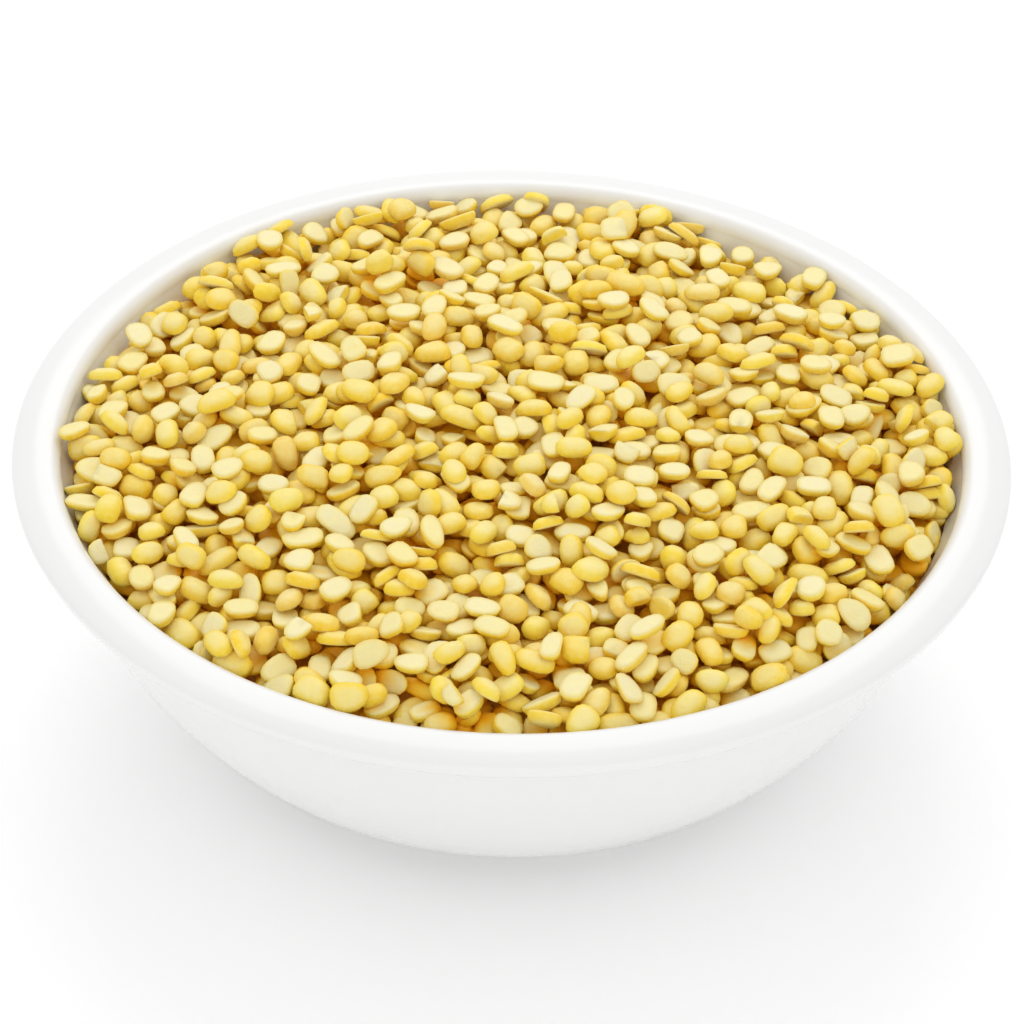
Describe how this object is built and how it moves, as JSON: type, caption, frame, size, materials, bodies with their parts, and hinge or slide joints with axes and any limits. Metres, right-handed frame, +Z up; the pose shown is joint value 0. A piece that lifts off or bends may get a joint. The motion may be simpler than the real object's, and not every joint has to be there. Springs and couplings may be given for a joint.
{
  "type": "bowl of dry split lentils",
  "caption": "Round white bowl with a thick rolled rim and a low foot ring, heaped with dry split yellow lentils in a low dome.",
  "frame": {"origin": "centre of the circle on which the bowl's foot ring stands", "axes": "+Z up along the bowl's axis, -Y towards the camera of the picture"},
  "size_m": [0.125, 0.125, 0.0464],
  "materials": {
    "white_porcelain": "white glaze, glossy and smooth",
    "split_lentils": null
  },
  "bodies": {
    "root": {"bowl": "white_porcelain", "lentil_heap": "split_lentils"}
  },
  "joints": []
}
